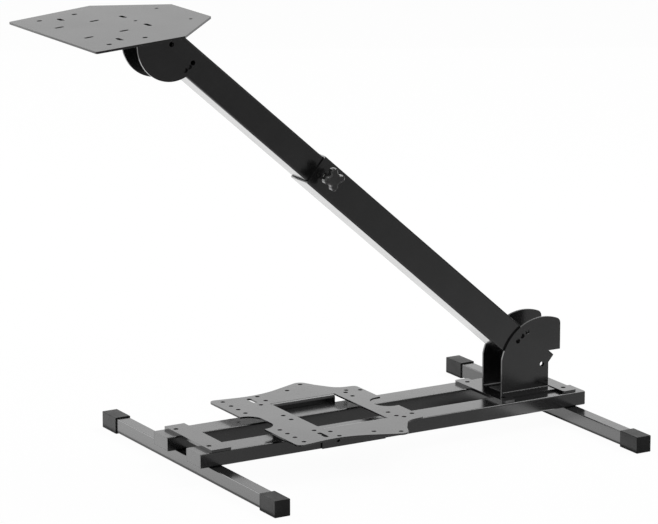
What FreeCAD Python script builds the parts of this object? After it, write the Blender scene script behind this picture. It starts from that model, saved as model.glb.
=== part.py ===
import FreeCAD, Part
import math
import os

# Racing wheel stand. Millimetres, +Z up, +X from the driver towards the back of the stand, +Y to its left.
# The parts are laid out with X = 0 over the front foot's bolts and moved at the end,
# so that the origin is on the floor, below the middle of the whole stand.

# Feet: square steel tubes with push-on end caps
FOOT_LENGTH = 493.0
FOOT_SPACING = 575.0
FOOT_TUBE = 20.0
FOOT_WALL = 1.5
FOOT_CORNER = 1.25
CAP_WALL = 1.6
CAP_CLEARANCE = 0.15
CAP_LENGTH = 40.5
CAP_END = 2.5
CAP_CORNER = 1.0

# Rails: flat rectangular tubes that lie on the feet, closed by welded end plates
RAIL_WIDTH = 40.0
RAIL_HEIGHT = 20.0
RAIL_WALL = 1.5
RAIL_GAP = 54.0
RAIL_OVERHANG = 24.0
RAIL_CORNER = 2.0
RAIL_PLUG_DEPTH = 3.0
RAIL_PLUG_CLEARANCE = 0.05
RAIL_PLUG_CORNER = 1.0

# Cross plates on the rails
CROSS_THICKNESS = 4.0
FRONT_CROSS_WIDTH = 31.0
FRONT_CROSS_EDGE = 7.5
FRONT_CROSS_CORNER = 1.0
STRIP_WIDTH = 22.5
STRIP_INSET = 2.5
STRIP_CORNER = 4.0
REAR_STRIP_GAP = 0.5
FRAME_BOLT_HOLE = 7.0

# Pivot bracket: two upright sheets with rounded heads, each with its foot turned out over a rail
PIVOT_FROM_REAR_FOOT = 22.5
PIVOT_HEIGHT = 78.4
BRACKET_SHEET = 3.0
BRACKET_BEND = 4.0
BRACKET_RADIUS = 69.5
BRACKET_FRONT = 68.0
BRACKET_REAR_TOP = 30.5
BRACKET_REAR_FOOT = 10.8
BRACKET_SHOULDER = 18.5
BRACKET_NOSE_ROUND = 9.0
FLANGE_HALF = 45.0
SIDE_CLEARANCE = 0.3

# Arm: a square tube that slides in a larger one
ARM_ANGLE = 41.13
PIVOT_TO_PIVOT = 783.9
LOWER_TUBE = 45.0
LOWER_WALL = 2.0
LOWER_TUBE_LENGTH = 501.2
LOWER_TUBE_END = 9.7
UPPER_TUBE = 40.0
UPPER_WALL = 2.0
UPPER_TUBE_END = 8.0
UPPER_INSERTION = 160.0
TUBE_CORNER = 2.5
TUBE_INNER_CORNER = 0.3
PIVOT_HOLE = 7.0
LOWER_LOCK_RADIUS = 57.0
LOWER_LOCK_ANGLES = (2.3, 12.1, 21.9)

# Clamp knob on the near side of the lower tube: a four-lobed palm grip with a hub, on a screw through a nut
KNOB_FROM_TUBE_END = 14.5
KNOB_RADIUS = 16.0
KNOB_LOBES = 4
KNOB_LOBE_RADIUS = 5.2
KNOB_VALLEY_RADIUS = 5.0
KNOB_GRIP = 10.0
KNOB_FRONT_CHAMFER = 1.8
KNOB_BACK_CHAMFER = 1.0
KNOB_HUB_RADIUS = 6.3
KNOB_HUB_LENGTH = 11.0
KNOB_STANDOFF = 6.0
NUT_ACROSS = 10.0
NUT_HEIGHT = 5.0
STUD_DIAMETER = 6.0
STUD_CLEARANCE = 0.3
STUD_RADIAL_GAP = 0.06

# Wheel plate and its bracket, tilted towards the driver
PLATE_TILT = 4.7
PLATE_THICKNESS = 3.0
PLATE_LENGTH = 206.0
PLATE_WIDEST_AT = 124.0
PLATE_FRONT_HALF = 128.0
PLATE_WIDEST_HALF = 135.0
PLATE_REAR_HALF = 55.0
PLATE_CORNER = 3.0
PLATE_FRONT_FROM_PIVOT = 161.0
PLATE_TOP_FROM_PIVOT = 34.9
PLATE_HOLE = 7.0
WHEEL_HOLE_ROWS = ((32.2, 101.0), (84.0, 101.0))
PLATE_SMALL_HOLE = 5.0
WHEEL_REAR_ROW = (179.5, 47.5)
WHEEL_CENTRE_HOLE = 123.0
PLATE_SLOT_WIDTH = 5.6
CROSS_SLOTS = ((55.6, 84.6), (122.7, 35.0))
CROSS_SLOT_LENGTH = 17.5
LONG_SLOTS = ((32.6, 42.7), (84.0, 42.7))
LONG_SLOT_LENGTH = 13.0

WHEEL_BRACKET_RADIUS = 50.0
WHEEL_BRACKET_SHEET = 3.0
WHEEL_BRACKET_BEND = 4.5
WHEEL_BRACKET_REAR = 16.0
WHEEL_BRACKET_REAR_HEIGHT = 3.0
WHEEL_BRACKET_ARC_END = -26.0
WHEEL_LOCK_RADIUS = 42.0
WHEEL_LOCK_STEPS = (0.0, 10.0, 20.0)

# Pedal plate: one sheet with two tabs bent down along the rails
PEDAL_SHEET = 2.5
PEDAL_TOP_OVER_RAILS = 10.3
PEDAL_FRONT = 93.5
PEDAL_BEND = 5.0
TAB_FROM_EDGE = 70.5
TAB_LENGTH = 101.0
TAB_CLEARANCE = 0.4
TAB_BOTTOM_OVER_RAIL_FOOT = 0.5
TAB_HOLE = 6.5
TAB_HOLE_INSET = 25.0
WINDOW_FRONT = 69.0
WINDOW_LENGTH = 104.0
# Half outline of the pedal plate: distance from its front edge, distance from its middle line, corner radius
PEDAL_OUTLINE = (
    (0.0, 128.0, 9.0),
    (76.5, 116.5, 130.0),
    (160.0, 150.6, 12.0),
    (171.5, 126.0, 22.0),
    (191.5, 95.5, 26.0),
    (220.0, 92.5, 7.0),
)
FRONT_NOTCH_HALF = 34.0
FRONT_NOTCH_DEPTH = 22.5
FRONT_NOTCH_ROUND = 22.0
REAR_NOTCH_HALF = 25.0
REAR_NOTCH_DEPTH = 26.0
REAR_NOTCH_ROUND = 21.0
NOTCH_RUN_OUT = 40.0
PEDAL_HOLE = 6.5
PEDAL_HOLES = ((16.0, 48.0), (16.0, 68.5), (16.0, 89.0), (16.0, 113.0), (55.0, 11.0), (55.0, 73.5),
               (71.5, 89.0), (71.5, 113.0), (123.0, 118.5), (155.0, 137.0), (188.5, 48.0), (189.5, 68.5),
               (196.0, 78.0), (214.0, 69.5))
PEDAL_SLOT = (54.5, 98.0)
PEDAL_SLOT_LENGTH = 24.0

# Cutters run this far past the faces they go through
CUT_PAST = 1.0
# Two places closer than this count as the same
SAME_PLACE = 0.01

# Heights and places that follow from the sizes above
FOOT_BOTTOM = CAP_WALL + CAP_CLEARANCE
FOOT_TOP = FOOT_BOTTOM + FOOT_TUBE
RAIL_TOP = FOOT_TOP + RAIL_HEIGHT
RAIL_INNER = RAIL_GAP / 2
RAIL_OUTER = RAIL_INNER + RAIL_WIDTH
RAIL_MIDDLE = RAIL_INNER + RAIL_WIDTH / 2
PIVOT_X = FOOT_SPACING - PIVOT_FROM_REAR_FOOT
KNOB_ALONG = LOWER_TUBE_LENGTH - LOWER_TUBE_END - KNOB_FROM_TUBE_END
KNOB_START = LOWER_TUBE / 2 + NUT_HEIGHT + KNOB_STANDOFF
BRACKET_INNER = LOWER_TUBE / 2 + SIDE_CLEARANCE
BRACKET_OUTER = BRACKET_INNER + BRACKET_SHEET
WHEEL_INNER = UPPER_TUBE / 2 + SIDE_CLEARANCE
WHEEL_OUTER = WHEEL_INNER + WHEEL_BRACKET_SHEET
PEDAL_TOP = RAIL_TOP + PEDAL_TOP_OVER_RAILS
PEDAL_BOTTOM = PEDAL_TOP - PEDAL_SHEET
TAB_INNER = RAIL_OUTER + TAB_CLEARANCE


def vec(x, y, z):
    """A FreeCAD vector."""
    return FreeCAD.Vector(x, y, z)


def box(x0, x1, y0, y1, z0, z1):
    """A box between two corners."""
    return Part.makeBox(x1 - x0, y1 - y0, z1 - z0, vec(x0, y0, z0))


def cylinder(radius, start, end):
    """A round bar from one point to another."""
    axis = end - start
    return Part.makeCylinder(radius, axis.Length, start, axis)


def rounded_face(corners):
    """A flat face in the XY plane from corners (x, y, radius), each corner rounded by its radius."""
    points = [vec(x, y, 0) for x, y, radius in corners]
    starts = []
    ends = []
    middles = []
    for index, (x, y, radius) in enumerate(corners):
        here = points[index]
        back = points[index - 1] - here
        on = points[(index + 1) % len(points)] - here
        back.normalize()
        on.normalize()
        half = math.acos(max(-1.0, min(1.0, back.dot(on)))) / 2
        if radius <= 0:
            starts.append(here)
            ends.append(here)
            middles.append(None)
            continue
        reach = radius / math.tan(half)
        bisector = back + on
        bisector.normalize()
        starts.append(here + back * reach)
        ends.append(here + on * reach)
        middles.append(here + bisector * (radius / math.sin(half) - radius))
    edges = []
    for index, middle in enumerate(middles):
        if middle is not None:
            edges.append(Part.Arc(starts[index], middle, ends[index]).toShape())
        following = starts[(index + 1) % len(points)]
        if (following - ends[index]).Length > SAME_PLACE:
            edges.append(Part.LineSegment(ends[index], following).toShape())
    return Part.Face(Part.Wire(edges))


def rounded_box(x0, x1, y0, y1, z0, z1, radius):
    """A box with its upright edges rounded."""
    face = rounded_face([(x0, y0, radius), (x1, y0, radius), (x1, y1, radius), (x0, y1, radius)])
    face.translate(vec(0, 0, z0))
    return face.extrude(vec(0, 0, z1 - z0))


def square_tube(size, wall, x0, x1, corner):
    """A hollow square tube along X, centred on it."""
    return rectangular_tube(size, size, wall, x0, x1, corner)


def rectangular_bar(width, height, x0, x1, corner):
    """A solid rectangular bar along X, centred on it, its long edges rounded."""
    half_width = width / 2
    half_height = height / 2
    face = rounded_face([(-half_width, -half_height, corner), (half_width, -half_height, corner),
                         (half_width, half_height, corner), (-half_width, half_height, corner)])
    face.rotate(vec(0, 0, 0), vec(1, 0, 0), 90)
    face.rotate(vec(0, 0, 0), vec(0, 0, 1), 90)
    face.translate(vec(x0, 0, 0))
    return face.extrude(vec(x1 - x0, 0, 0))


def rectangular_tube(width, height, wall, x0, x1, corner):
    """A hollow rectangular tube along X, centred on it."""
    hollow = rectangular_bar(width - 2 * wall, height - 2 * wall, x0, x1, max(corner - wall, TUBE_INNER_CORNER))
    return rectangular_bar(width, height, x0, x1, corner).cut(hollow)


def upright_hole(x, y, z0, z1, diameter):
    """The cutter of a hole along Z."""
    return Part.makeCylinder(diameter / 2, z1 - z0, vec(x, y, z0))


def slot_cutter(x, y, z0, z1, width, length, along):
    """The cutter of a round-ended slot through a level sheet, along "x" or "y"."""
    run = (length - width) / 2
    if along == "x":
        straight = box(x - run, x + run, y - width / 2, y + width / 2, z0, z1)
        ends = [(x - run, y), (x + run, y)]
    else:
        straight = box(x - width / 2, x + width / 2, y - run, y + run, z0, z1)
        ends = [(x, y - run), (x, y + run)]
    return straight.fuse([upright_hole(ex, ey, z0, z1, width) for ex, ey in ends])


def foot_tube(x):
    """A foot's square tube, from cap end to cap end, drilled where it is bolted to the rails."""
    half = FOOT_LENGTH / 2 - CAP_END
    tube = square_tube(FOOT_TUBE, FOOT_WALL, -half, half, FOOT_CORNER)
    tube.rotate(vec(0, 0, 0), vec(0, 0, 1), 90)
    tube.translate(vec(x, 0, FOOT_BOTTOM + FOOT_TUBE / 2))
    holes = [upright_hole(x, side * RAIL_MIDDLE, 0, FOOT_TOP + CUT_PAST, FRAME_BOLT_HOLE) for side in (-1, 1)]
    return tube.cut(holes)


def foot_cap(x, side):
    """A push-on cap: a square cup that covers the end of a foot's tube."""
    half = FOOT_TUBE / 2 + CAP_CLEARANCE
    outer = half + CAP_WALL
    middle = FOOT_BOTTOM + FOOT_TUBE / 2
    tip = FOOT_LENGTH / 2
    mouth = tip - CAP_LENGTH
    body = box(-outer, outer, mouth, tip, middle - outer, middle + outer)
    outer_edges = [edge for edge in body.Edges if edge.BoundBox.YMax > mouth + SAME_PLACE]
    body = body.makeFillet(CAP_CORNER, outer_edges)
    socket = box(-half, half, mouth - CUT_PAST, tip - CAP_END, middle - half, middle + half)
    cap = body.cut(socket)
    if side < 0:
        cap.rotate(vec(0, 0, 0), vec(0, 0, 1), 180)
    cap.translate(vec(x, 0, 0))
    return cap


def rail(side):
    """A rail's rectangular tube, with the holes of the bolts that hold it to both feet and to the bracket."""
    x0 = -RAIL_OVERHANG
    x1 = FOOT_SPACING + RAIL_OVERHANG
    tube = rectangular_tube(RAIL_WIDTH, RAIL_HEIGHT, RAIL_WALL, x0, x1, RAIL_CORNER)
    tube.translate(vec(0, side * RAIL_MIDDLE, FOOT_TOP + RAIL_HEIGHT / 2))
    cutters = []
    for x in (0.0, FOOT_SPACING, front_strip_hole()):
        cutters.append(upright_hole(x, side * RAIL_MIDDLE, FOOT_TOP - CUT_PAST, RAIL_TOP + CUT_PAST,
                                    FRAME_BOLT_HOLE))
    return tube.cut(cutters)


def rail_end_plate(side, at_rear):
    """The plate that closes a rail's end, set into its mouth."""
    inset = RAIL_WALL + RAIL_PLUG_CLEARANCE
    start = FOOT_SPACING + RAIL_OVERHANG - RAIL_PLUG_DEPTH if at_rear else -RAIL_OVERHANG
    plate = rectangular_bar(RAIL_WIDTH - 2 * inset, RAIL_HEIGHT - 2 * inset, start, start + RAIL_PLUG_DEPTH,
                            RAIL_PLUG_CORNER)
    plate.translate(vec(0, side * RAIL_MIDDLE, FOOT_TOP + RAIL_HEIGHT / 2))
    return plate


def cross_plate_holes(x):
    """The cutters of a cross plate's two bolt holes, one over each rail."""
    return [upright_hole(x, side * RAIL_MIDDLE, RAIL_TOP - CUT_PAST, RAIL_TOP + CROSS_THICKNESS + CUT_PAST,
                         FRAME_BOLT_HOLE)
            for side in (-1, 1)]


def front_cross_plate():
    """The flat plate across both rails over the front foot."""
    plate = rounded_box(-FRONT_CROSS_EDGE, FRONT_CROSS_WIDTH - FRONT_CROSS_EDGE, -RAIL_OUTER, RAIL_OUTER,
                        RAIL_TOP, RAIL_TOP + CROSS_THICKNESS, FRONT_CROSS_CORNER)
    return plate.cut(cross_plate_holes(0))


def front_strip_rear():
    """Where the strip in front of the pivot bracket ends: against the bracket's feet."""
    return PIVOT_X - BRACKET_FRONT


def front_strip_hole():
    """Where the bolts of that strip stand."""
    return front_strip_rear() - STRIP_WIDTH / 2


def cross_strip(x0, hole_x):
    """A flat strip across both rails, held by a bolt through each."""
    half = RAIL_OUTER - STRIP_INSET
    strip = rounded_box(x0, x0 + STRIP_WIDTH, -half, half, RAIL_TOP, RAIL_TOP + CROSS_THICKNESS, STRIP_CORNER)
    return strip.cut(cross_plate_holes(hole_x))


def channel_plan(x0, x1, inner, sheet, bend):
    """Plan of a bent channel that opens towards +X: web at x0, sides to x1."""
    outer = inner + sheet
    skin = rounded_face([(x0, -outer, bend), (x1, -outer, 0), (x1, outer, 0), (x0, outer, bend)])
    past = x1 + CUT_PAST
    hollow = rounded_face([(x0 + sheet, -inner, bend - sheet), (past, -inner, 0),
                           (past, inner, 0), (x0 + sheet, inner, bend - sheet)])
    return skin.cut(hollow)


def bracket_side_outline():
    """The pivot bracket's outline, seen from the side and as deep as its feet: a large arc about the pivot,
    a rounded nose and a shoulder behind it, and a narrower foot."""
    front = -BRACKET_FRONT
    foot = RAIL_TOP - PIVOT_HEIGHT
    arc_start = vec(front, math.sqrt(BRACKET_RADIUS ** 2 - BRACKET_FRONT ** 2), 0)
    nose_x = BRACKET_REAR_TOP - BRACKET_NOSE_ROUND
    nose_reach = BRACKET_RADIUS - BRACKET_NOSE_ROUND
    nose = vec(nose_x, math.sqrt(nose_reach ** 2 - nose_x ** 2), 0)
    nose_start = nose * (BRACKET_RADIUS / nose_reach)
    nose_end = nose + vec(BRACKET_NOSE_ROUND, 0, 0)
    nose_angle = nose.getAngle(vec(1, 0, 0)) / 2
    nose_middle = nose + vec(math.cos(nose_angle), math.sin(nose_angle), 0) * BRACKET_NOSE_ROUND
    corners = [nose_end, vec(BRACKET_REAR_TOP, BRACKET_SHOULDER, 0), vec(BRACKET_REAR_FOOT, BRACKET_SHOULDER, 0),
               vec(BRACKET_REAR_FOOT, foot, 0), vec(front, foot, 0), arc_start]
    edges = [Part.LineSegment(a, b).toShape() for a, b in zip(corners, corners[1:])]
    edges.append(Part.Arc(arc_start, vec(0, BRACKET_RADIUS, 0), nose_start).toShape())
    edges.append(Part.Arc(nose_start, nose_middle, nose_end).toShape())
    outline = Part.Face(Part.Wire(Part.__sortEdges__(edges))).extrude(vec(0, 0, 2 * FLANGE_HALF))
    outline.rotate(vec(0, 0, 0), vec(1, 0, 0), 90)
    outline.translate(vec(PIVOT_X, FLANGE_HALF, PIVOT_HEIGHT))
    return outline


def flange_profile(x0, x1, side):
    """The foot of a bracket side: it bends outwards and lies on the rail."""
    inner_bend = BRACKET_BEND - BRACKET_SHEET
    top = RAIL_TOP + BRACKET_SHEET
    bend_top = top + inner_bend
    flat_start = BRACKET_OUTER + inner_bend
    outer_arc = Part.Arc(vec(0, BRACKET_INNER, bend_top),
                         vec(0, flat_start - BRACKET_BEND * math.sqrt(0.5), bend_top - BRACKET_BEND * math.sqrt(0.5)),
                         vec(0, flat_start, RAIL_TOP))
    inner_arc = Part.Arc(vec(0, flat_start, top),
                         vec(0, flat_start - inner_bend * math.sqrt(0.5), bend_top - inner_bend * math.sqrt(0.5)),
                         vec(0, BRACKET_OUTER, bend_top))
    wire = Part.Wire([
        outer_arc.toShape(),
        Part.LineSegment(vec(0, flat_start, RAIL_TOP), vec(0, FLANGE_HALF, RAIL_TOP)).toShape(),
        Part.LineSegment(vec(0, FLANGE_HALF, RAIL_TOP), vec(0, FLANGE_HALF, top)).toShape(),
        Part.LineSegment(vec(0, FLANGE_HALF, top), vec(0, flat_start, top)).toShape(),
        inner_arc.toShape(),
        Part.LineSegment(vec(0, BRACKET_OUTER, bend_top), vec(0, BRACKET_INNER, bend_top)).toShape(),
    ])
    face = Part.Face(wire)
    face.translate(vec(x0, 0, 0))
    flange = face.extrude(vec(x1 - x0, 0, 0))
    if side < 0:
        flange = flange.mirror(vec(0, 0, 0), vec(0, 1, 0))
    return flange


def pivot_bracket(side):
    """One side of the bracket that carries the arm: a rounded head, and a foot bent out over its rail."""
    front = PIVOT_X - BRACKET_FRONT
    rear = PIVOT_X + BRACKET_REAR_TOP
    foot_rear = PIVOT_X + BRACKET_REAR_FOOT
    near_edge, far_edge = sorted((side * BRACKET_INNER, side * BRACKET_OUTER))
    sheet = box(front, rear, near_edge, far_edge, RAIL_TOP + BRACKET_BEND, PIVOT_HEIGHT + BRACKET_RADIUS)
    upright = sheet.common(bracket_side_outline())
    bracket = upright.fuse(flange_profile(front, foot_rear, side)).removeSplitter()
    reach = side * (BRACKET_OUTER + CUT_PAST)
    cutters = [cylinder(PIVOT_HOLE / 2, vec(PIVOT_X, 0, PIVOT_HEIGHT), vec(PIVOT_X, reach, PIVOT_HEIGHT))]
    for raise_angle in LOWER_LOCK_ANGLES:
        angle = math.radians(180 - ARM_ANGLE - raise_angle)
        x = PIVOT_X + LOWER_LOCK_RADIUS * math.cos(angle)
        z = PIVOT_HEIGHT + LOWER_LOCK_RADIUS * math.sin(angle)
        cutters.append(cylinder(PIVOT_HOLE / 2, vec(x, 0, z), vec(x, reach, z)))
    return bracket.cut(cutters)


def on_arm(shape):
    """Moves a shape built with +X up the arm from the lower pivot, and +Z square to it, to its place."""
    angle = math.radians(ARM_ANGLE)
    matrix = FreeCAD.Matrix(-math.cos(angle), 0, math.sin(angle), PIVOT_X,
                            0, -1, 0, 0,
                            math.sin(angle), 0, math.cos(angle), PIVOT_HEIGHT,
                            0, 0, 0, 1)
    return shape.transformShape(matrix)


def cross_hole(x, size, diameter):
    """The cutter of a hole through both sides of an arm tube."""
    return cylinder(diameter / 2, vec(x, -size, 0), vec(x, size, 0))


def lower_arm_tube():
    """The outer arm tube, drilled for the pivot, the lock bolt and the clamp screw."""
    tube = square_tube(LOWER_TUBE, LOWER_WALL, -LOWER_TUBE_END, LOWER_TUBE_LENGTH - LOWER_TUBE_END, TUBE_CORNER)
    stud_hole = cylinder(STUD_DIAMETER / 2 + STUD_RADIAL_GAP, vec(KNOB_ALONG, UPPER_TUBE / 2, 0),
                         vec(KNOB_ALONG, LOWER_TUBE, 0))
    return on_arm(tube.cut([cross_hole(0, LOWER_TUBE, PIVOT_HOLE),
                            cross_hole(LOWER_LOCK_RADIUS, LOWER_TUBE, PIVOT_HOLE), stud_hole]))


def upper_arm_tube():
    """The inner arm tube, drilled for the wheel bracket's pivot and lock bolt."""
    lower_end = LOWER_TUBE_LENGTH - LOWER_TUBE_END - UPPER_INSERTION
    tube = square_tube(UPPER_TUBE, UPPER_WALL, lower_end, PIVOT_TO_PIVOT + UPPER_TUBE_END, TUBE_CORNER)
    return on_arm(tube.cut([cross_hole(PIVOT_TO_PIVOT, UPPER_TUBE, PIVOT_HOLE),
                            cross_hole(PIVOT_TO_PIVOT - WHEEL_LOCK_RADIUS, UPPER_TUBE, PIVOT_HOLE)]))


def clamp_nut():
    """The hexagonal nut welded to the lower tube, where the clamp screw goes in."""
    face = LOWER_TUBE / 2
    corner = NUT_ACROSS / math.sqrt(3)
    points = []
    for index in range(7):
        angle = math.radians(60 * index)
        points.append(vec(corner * math.cos(angle), corner * math.sin(angle), 0))
    nut = Part.Face(Part.makePolygon(points)).extrude(vec(0, 0, NUT_HEIGHT))
    hole = Part.makeCylinder(STUD_DIAMETER / 2 + STUD_RADIAL_GAP, NUT_HEIGHT + 2 * CUT_PAST, vec(0, 0, -CUT_PAST))
    nut = nut.cut(hole)
    nut.rotate(vec(0, 0, 0), vec(1, 0, 0), -90)
    nut.translate(vec(KNOB_ALONG, face, 0))
    return on_arm(nut)


def clamp_stud():
    """The clamp screw's shank, from just off the inner tube to the knob's hub."""
    start = UPPER_TUBE / 2 + STUD_CLEARANCE
    return on_arm(cylinder(STUD_DIAMETER / 2, vec(KNOB_ALONG, start, 0), vec(KNOB_ALONG, KNOB_START, 0)))


def knob_outline():
    """Outline of the palm grip: round lobes that run into round valleys, turned so that one lobe hangs down."""
    half_step = math.pi / KNOB_LOBES
    lobe_centre = KNOB_RADIUS - KNOB_LOBE_RADIUS
    touch = KNOB_LOBE_RADIUS + KNOB_VALLEY_RADIUS
    across = lobe_centre * math.sin(half_step)
    valley_centre = lobe_centre * math.cos(half_step) + math.sqrt(touch ** 2 - across ** 2)

    def polar(radius, angle):
        return vec(radius * math.cos(angle), radius * math.sin(angle), 0)

    edges = []
    for index in range(KNOB_LOBES):
        angle = math.radians(ARM_ANGLE) + 2 * half_step * index
        lobe = polar(lobe_centre, angle)
        before = polar(valley_centre, angle - half_step)
        after = polar(valley_centre, angle + half_step)
        share = KNOB_LOBE_RADIUS / touch
        lobe_start = lobe + (before - lobe) * share
        lobe_end = lobe + (after - lobe) * share
        edges.append(Part.Arc(lobe_start, polar(KNOB_RADIUS, angle), lobe_end).toShape())
        next_lobe = polar(lobe_centre, angle + 2 * half_step)
        next_start = next_lobe + (after - next_lobe) * share
        bottom = polar(valley_centre - KNOB_VALLEY_RADIUS, angle + half_step)
        edges.append(Part.Arc(lobe_end, bottom, next_start).toShape())
    return Part.Face(Part.Wire(edges))


def clamp_knob():
    """The clamp screw's palm grip, its rims chamfered, with a round hub towards the tube."""
    grip = knob_outline().extrude(vec(0, 0, KNOB_GRIP))
    front = [edge for edge in grip.Edges if edge.BoundBox.ZMin > KNOB_GRIP - SAME_PLACE]
    grip = grip.makeChamfer(KNOB_FRONT_CHAMFER, front)
    back = [edge for edge in grip.Edges if edge.BoundBox.ZMax < SAME_PLACE]
    grip = grip.makeChamfer(KNOB_BACK_CHAMFER, back)
    grip.translate(vec(0, 0, KNOB_HUB_LENGTH))
    hub = Part.makeCylinder(KNOB_HUB_RADIUS, KNOB_HUB_LENGTH + KNOB_GRIP / 2)
    knob = grip.fuse(hub).removeSplitter()
    knob.rotate(vec(0, 0, 0), vec(1, 0, 0), -90)
    knob.translate(vec(KNOB_ALONG, KNOB_START, 0))
    return on_arm(knob)


def on_wheel_pivot(shape):
    """Moves a shape built about the upper pivot, level, to its place and tilt."""
    angle = math.radians(ARM_ANGLE)
    shape.rotate(vec(0, 0, 0), vec(0, -1, 0), PLATE_TILT)
    shape.translate(vec(PIVOT_X - PIVOT_TO_PIVOT * math.cos(angle), 0,
                        PIVOT_HEIGHT + PIVOT_TO_PIVOT * math.sin(angle)))
    return shape


def wheel_plate():
    """The plate that the wheel is bolted or clamped to, with its field of holes and slots."""
    front = -PLATE_FRONT_FROM_PIVOT
    top = PLATE_TOP_FROM_PIVOT
    bottom = top - PLATE_THICKNESS
    face = rounded_face([
        (front, -PLATE_FRONT_HALF, PLATE_CORNER),
        (front + PLATE_WIDEST_AT, -PLATE_WIDEST_HALF, PLATE_CORNER),
        (front + PLATE_LENGTH, -PLATE_REAR_HALF, PLATE_CORNER),
        (front + PLATE_LENGTH, PLATE_REAR_HALF, PLATE_CORNER),
        (front + PLATE_WIDEST_AT, PLATE_WIDEST_HALF, PLATE_CORNER),
        (front, PLATE_FRONT_HALF, PLATE_CORNER),
    ])
    face.translate(vec(0, 0, bottom))
    plate = face.extrude(vec(0, 0, PLATE_THICKNESS))
    z0 = bottom - CUT_PAST
    z1 = top + CUT_PAST
    cutters = [upright_hole(front + WHEEL_CENTRE_HOLE, 0, z0, z1, PLATE_SMALL_HOLE)]
    for side in (-1, 1):
        cutters.append(upright_hole(front + WHEEL_REAR_ROW[0], side * WHEEL_REAR_ROW[1], z0, z1, PLATE_SMALL_HOLE))
        for s, y in WHEEL_HOLE_ROWS:
            cutters.append(upright_hole(front + s, side * y, z0, z1, PLATE_HOLE))
        for s, y in CROSS_SLOTS:
            cutters.append(slot_cutter(front + s, side * y, z0, z1, PLATE_SLOT_WIDTH, CROSS_SLOT_LENGTH, "y"))
        for s, y in LONG_SLOTS:
            cutters.append(slot_cutter(front + s, side * y, z0, z1, PLATE_SLOT_WIDTH, LONG_SLOT_LENGTH, "x"))
    return on_wheel_pivot(plate.cut(cutters))


def wheel_bracket():
    """The bent bracket under the wheel plate: a web against it and two rounded sides that straddle the arm."""
    top = PLATE_TOP_FROM_PIVOT - PLATE_THICKNESS
    radius = WHEEL_BRACKET_RADIUS
    arc_end = math.radians(WHEEL_BRACKET_ARC_END)
    end = vec(radius * math.cos(arc_end), radius * math.sin(arc_end), 0)
    edges = [
        Part.LineSegment(vec(-radius, top, 0), vec(-radius, 0, 0)).toShape(),
        Part.Arc(vec(-radius, 0, 0), vec(0, -radius, 0), end).toShape(),
        Part.LineSegment(end, vec(WHEEL_BRACKET_REAR, WHEEL_BRACKET_REAR_HEIGHT, 0)).toShape(),
        Part.LineSegment(vec(WHEEL_BRACKET_REAR, WHEEL_BRACKET_REAR_HEIGHT, 0),
                         vec(WHEEL_BRACKET_REAR, top, 0)).toShape(),
        Part.LineSegment(vec(WHEEL_BRACKET_REAR, top, 0), vec(-radius, top, 0)).toShape(),
    ]
    side = Part.Face(Part.Wire(edges)).extrude(vec(0, 0, 2 * WHEEL_OUTER))
    side.rotate(vec(0, 0, 0), vec(1, 0, 0), 90)
    side.translate(vec(0, WHEEL_OUTER, 0))
    run = radius + CUT_PAST
    plan = channel_plan(-top, run, WHEEL_INNER, WHEEL_BRACKET_SHEET, WHEEL_BRACKET_BEND)
    channel = plan.extrude(vec(0, 0, 2 * run))
    channel.rotate(vec(0, 0, 0), vec(0, 1, 0), 90)
    channel.translate(vec(-run, 0, 0))
    bracket = channel.common(side)
    reach = WHEEL_OUTER + CUT_PAST
    cutters = [cylinder(PIVOT_HOLE / 2, vec(0, -reach, 0), vec(0, reach, 0))]
    for step in WHEEL_LOCK_STEPS:
        angle = math.radians(-ARM_ANGLE - PLATE_TILT - step)
        x = WHEEL_LOCK_RADIUS * math.cos(angle)
        z = WHEEL_LOCK_RADIUS * math.sin(angle)
        cutters.append(cylinder(PIVOT_HOLE / 2, vec(x, -reach, z), vec(x, reach, z)))
    return on_wheel_pivot(bracket.cut(cutters))


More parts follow.
